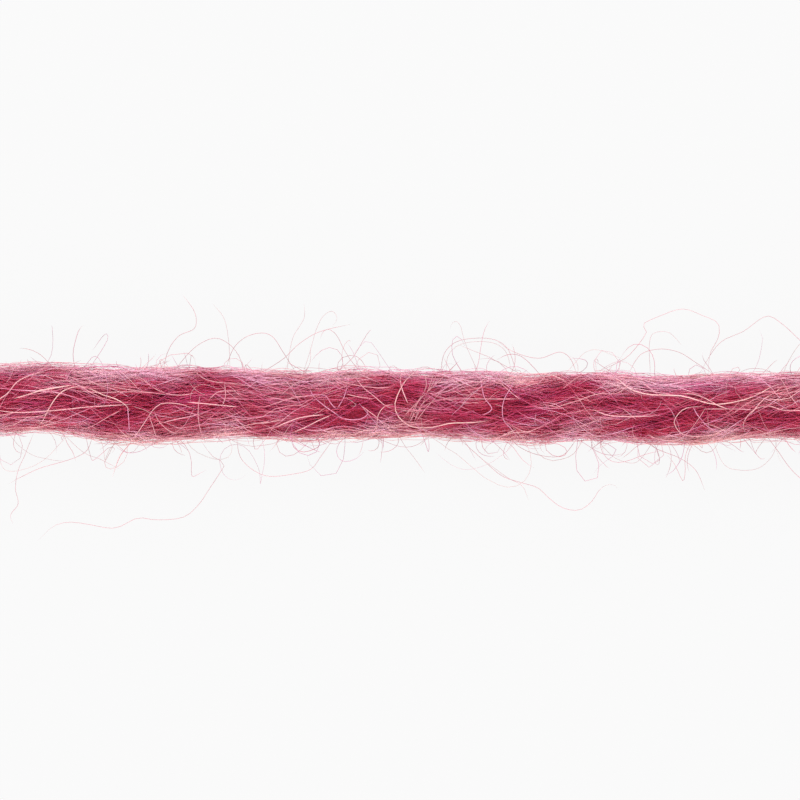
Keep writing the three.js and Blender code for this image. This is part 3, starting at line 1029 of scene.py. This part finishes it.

# %% [markdown]
# ## Strays and fuzz
#
# Ends and loops stand off every softly spun yarn. The long ones that the eye follows beside the
# strand are placed one by one, again as it sees them from above. The others wander: a hair leaves
# the surface, and its direction drifts smoothly, like a walk whose steering wheel is turned a little
# at each step.

# %% Strays placed one by one
STRAYS = [
    ("fine", -11.9, 1.5, -11.6, 2.65, -11.05, 3.4, -10.25, 3.8, -10.25, 4.55, -10.9, 5.5),
    ("faint", -8.5, 1.6, -8.6, 3.4, -8.8, 4.3, -9.4, 5.05),
    ("fine", -11.4, 1.4, -10.9, 2.15, -10.1, 2.95, -9.25, 3.3, -8.55, 3, -8.05, 2.4, -7.7, 1.4),
    ("fine", -8.8, 1.5, -8.35, 2.75, -7.7, 3.35, -6.85, 3.55, -6.35, 3.35, -5.85, 2.6, -5.1, 1.4),
    ("fine", -7.4, 1.3, -5.85, 2.25, -5.05, 3, -4.05, 3.6, -2.45, 4),
    ("faint", -4.9, 1.4, -4.5, 2.6, -4.2, 3.7, -3.85, 4.4, -3.4, 4.65, -3.15, 4.3, -3.4, 3.85),
    ("faint", -5.7, 1.4, -5.35, 3.3, -4.8, 4.3, -4.8, 5.05),
    ("fine", 2, 1.2, 2.2, 2.5, 2.8, 3.1, 3.85, 3.3, 4.8, 3.2, 5.4, 2.75, 5.9, 1.3),
    ("faint", 2.3, 1.3, 2.4, 2.4, 2.95, 2.95, 3.9, 3.12, 4.75, 3.02, 5.3, 2.6, 5.6, 1.5),
    ("fine", 4.8, 3.2, 5.4, 2.75, 6.25, 2.4, 7.05, 2.3, 8, 2.6, 8.5, 2.3, 8.9, 1.3),
    ("fine", 9.4, 1.4, 11.2, 2.25, 11.85, 2.9, 12.35, 3.7, 12.1, 3.95, 13, 4.4, 14.15, 4.75, 15.2,
        4.4, 15.9, 4.05, 15.95, 3.4, 15.5, 2.5, 15.4, 1.3),
    ("fine", 11.3, 1.3, 12, 2.45, 12.95, 2.75, 13.95, 2.6, 14.85, 2.05, 15.8, 1.4),
    ("faint", 12.5, 1.3, 12.55, 3.4, 13.4, 3.6, 14.15, 2.9),
    ("fine", 14.9, 1.4, 16, 3.05, 17.2, 3.65, 18.35, 4.4, 19.15, 3.95, 19.9, 3.25, 21.2, 2.2,
        22.6, 1.5),
    ("fine", -10.3, -1.3, -9.4, -2.6, -8.8, -3, -9.05, -3.5, -9.55, -4.25, -10.05, -5, -10.8,
        -5.65, -12.2, -5.8, -13.1, -5.7, -14.25, -6.2, -15.65, -6, -16.55, -5.9, -17.3, -6.1,
        -18.1, -6.85),
    ("fine", -18.3, -1.4, -18.75, -2.6, -19.1, -3.35, -19.25, -4.25, -19.1, -5, -19.45, -5.55,
        -19.3, -6.05),
    ("fine", -19.6, -4, -19.05, -3.7, -18.1, -3.25, -15.8, -2.45, -15.3, -1.4),
    ("faint", -16.9, -1.4, -15.8, -2.45, -14.9, -2.8, -14, -3.25),
    ("fine", -8.2, -1.3, -8, -2.6, -7.4, -3.25, -6.6, -3.6, -5.35, -3.5, -4.45, -3.25, -3.95,
        -2.6, -3.1, -1.4),
    ("faint", -0.2, -1.3, 0.25, -2.1, 0.75, -2.75, 1.25, -3.45),
    ("fine", 2.6, -1.4, 3.2, -1.95, 4.1, -2.75, 5.1, -3.6, 6.1, -3.95, 6.9, -4.2, 7.5, -4.75,
        8.15, -5.2, 8.95, -5.3, 9.55, -4.9, 10.05, -4.2, 10.6, -4, 10.95, -4.3),
    ("faint", 4.1, -2.75, 5.4, -3.7, 6.1, -4.1, 6.45, -4.85),
    ("fine", 5.2, -1.4, 6.05, -2.2, 7.15, -2.6, 8.15, -2.55, 9, -1.5),
    ("faint", 9.5, -1.4, 10.2, -2.2, 10.85, -2.75, 11.85, -2.9, 12.9, -1.5),
    ("fine", 11.9, -1.5, 12.75, -2.2, 14.05, -2.75, 14.8, -3.35, 15.3, -4.4),
    ("faint", 15.5, -1.5, 16.1, -2.9, 16.6, -3.25, 17.85, -3.25, 18.6, -2.6, 18.9, -1.5),
    ("fine", 18.2, -1.4, 18.9, -2.35, 19.4, -3.1, 20, -3.7, 21, -4.3),
]

strays = fibre_mesh(
    "strays", placed_hairs(STRAYS, -0.3 * MM, points=34, sway=0.35 * MM), hair_wool)


# %% Wandering hairs
HAIR_SKEW = 0.3
ROOT_DEEP = 0.35 * MM
STEADY, NEW_STEER = 0.85, 0.5
PULL_BACK = 0.5
PAST_CUT = 0.4 * MM
ROOTS_TO_MM = 29.6
FUZZ_LOWEST, FUZZ_ROUND = -0.5, 0.9  # radians above each long side
LENGTH_SPREAD = 2.2
LENGTHS_MM = (0.8, 14)


def wander(random, x, angle, lift, length, drift, home, points):
    """Hairs that leave the surface at x and angle, lifted off it by an angle, and then wander.
    Beyond home, a distance from the strand's middle line, they bend back towards it."""
    count = len(x)
    outward = np.stack([np.zeros(count), np.cos(angle), np.sin(angle)], axis=-1)
    sideways = np.stack([np.zeros(count), -np.sin(angle), np.cos(angle)], axis=-1)
    facing = np.where(random.uniform(0, 1, count) < 0.5, -1.0, 1.0)[:, None]
    skew = random.normal(0, HAIR_SKEW, count)[:, None]
    along = unit(np.array([1.0, 0, 0]) * facing + sideways * skew)
    heading = unit(along * np.cos(lift)[:, None] + outward * np.sin(lift)[:, None])
    steering = random.normal(0, 1, (count, 3)) * drift[:, None]
    step = (length / (points - 1))[:, None]
    place = point_at(x, angle, -ROOT_DEEP)
    path = [place]
    for _ in range(points - 1):
        turned = NEW_STEER * random.normal(0, 1, (count, 3)) * drift[:, None]
        steering = STEADY * steering + turned
        inward = off_middle(place[:, 0], 0, 0) - place
        away = np.linalg.norm(inward, axis=1, keepdims=True)
        pull = PULL_BACK * np.maximum(0, away - home) / MM ** 2 * unit(inward)
        heading = unit(heading + (np.cross(steering, heading) + pull) * step)
        place = place + heading * step
        place[:, 2] = np.maximum(place[:, 2], FIBRE_REST)
        place[:, 0] = np.clip(place[:, 0], -CUT - PAST_CUT, CUT + PAST_CUT)
        path.append(place)
    return np.stack(path, axis=1)


def stray_group(seed, count, lift, length, drift, home, thick, shade, cool_share, points):
    """Wandering hairs that leave from both long sides. length and thick are in mm, and drift is
    in radians for each mm."""
    random = np.random.default_rng(seed)
    x = random.uniform(-ROOTS_TO_MM, ROOTS_TO_MM, count) * MM
    angle = random.uniform(FUZZ_LOWEST, FUZZ_ROUND, count)
    angle = np.where(random.uniform(0, 1, count) < 0.5, angle, math.pi - angle)
    lifts = np.abs(random.normal(0, lift, count))
    lengths = random.gamma(LENGTH_SPREAD, length / LENGTH_SPREAD, count)
    lengths = np.clip(lengths, *LENGTHS_MM) * MM
    drifts = random.uniform(*drift, count) / MM
    paths = wander(random, x, angle, lifts, lengths, drifts, home, points)
    thicks = random.uniform(*thick, count) * MM
    shades = random.normal(*shade, count)[:, None]
    hues = lock_hues(random, count, 1, cool_share)
    return paths, thicks, shades, hues


close_fuzz = fibre_mesh("close_fuzz", stray_group(
    31, 220, lift=0.18, length=3.2, drift=(0.35, 0.8), home=1.7 * MM, thick=(0.02, 0.03),
    shade=(0.55, 0.1), cool_share=0.3, points=16), hair_wool)
frizz = fibre_mesh("frizz", stray_group(
    33, 1000, lift=0.1, length=1.8, drift=(0.4, 0.9), home=1.65 * MM, thick=(0.018, 0.026),
    shade=(0.58, 0.08), cool_share=0.3, points=10), hair_wool)
far_fuzz = fibre_mesh("far_fuzz", stray_group(
    32, 22, lift=0.5, length=8.0, drift=(0.25, 0.6), home=2.4 * MM, thick=(0.018, 0.025),
    shade=(0.76, 0.05), cool_share=0.3, points=30), hair_wool)

# %% [markdown]
# ## The stage
#
# The strand lies on a pale sheet that is lit from below, like a light table, so it throws next to
# no shadow. Two broad soft lights, one on each long side, model the plies.

# %% Stage
TABLE_SIZE = 1.2
TABLE_GLOW = 0.91


def make_table():
    """The lit surface that the strand lies on. It is a stage, so it isn't part of the object."""
    bm = bmesh.new()
    bmesh.ops.create_grid(bm, x_segments=1, y_segments=1, size=TABLE_SIZE / 2)
    mesh = bpy.data.meshes.new("light_table")
    bm.to_mesh(mesh)
    bm.free()
    material, _, shader = new_finish("opal_glass_lit_from_below", roughness=1.0, gloss=0.0)
    fill_sockets(shader, {
        "Base Color": hex_to_linear("#303030"),
        "Emission Color": hex_to_linear("#ffffff"),
        "Emission Strength": TABLE_GLOW,
    })
    mesh.materials.append(material)
    table = add_object("light_table", mesh)


make_table()

# %% Lights
world = bpy.data.worlds.new("soft_room")
world.use_nodes = True
room = world.node_tree.nodes["Background"]
fill_sockets(room, {"Color": hex_to_linear("#ffffff"), "Strength": 0.7})
LIGHT_SIZE = 0.24


def soft_light(name, place, power):
    """A broad white light at place, turned to the middle of the view. power is in watts."""
    data = bpy.data.lights.new(name, "AREA")
    data.size = LIGHT_SIZE
    data.energy = power
    light = add_object(name, data)
    light.location = place
    aim = VIEW_MIDDLE - Vector(place)
    light.rotation_euler = aim.to_track_quat("-Z", "Y").to_euler()
    print(name + ":", power, "W")


soft_light("far_side_light", (0.03, 0.28, 0.21), 1.15)
soft_light("near_side_light", (-0.05, -0.28, 0.2), 1.0)

scene = bpy.context.scene
scene.world = world
scene.view_settings.view_transform = "Standard"
scene.view_settings.look = "None"

# %% [markdown]
# ## One body
#
# The core stands in for the imported strand, which is hidden along with the imported loose hairs,
# and it has the strand's own length. All the fibre groups go with it, and everything rides on the
# one body.

# %% Ride and finish
hair_nodes = sorted(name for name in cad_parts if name.startswith("loose_hair"))
hairs = [frizz, close_fuzz, strays, far_fuzz]
everything = [
    core, *plies, rose_cover, pale_cover, down, cut_ends, lying_hairs, strewn_hairs, *hairs]
for piece in everything:
    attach(piece, "root")
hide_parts("strand")
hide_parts(*hair_nodes)
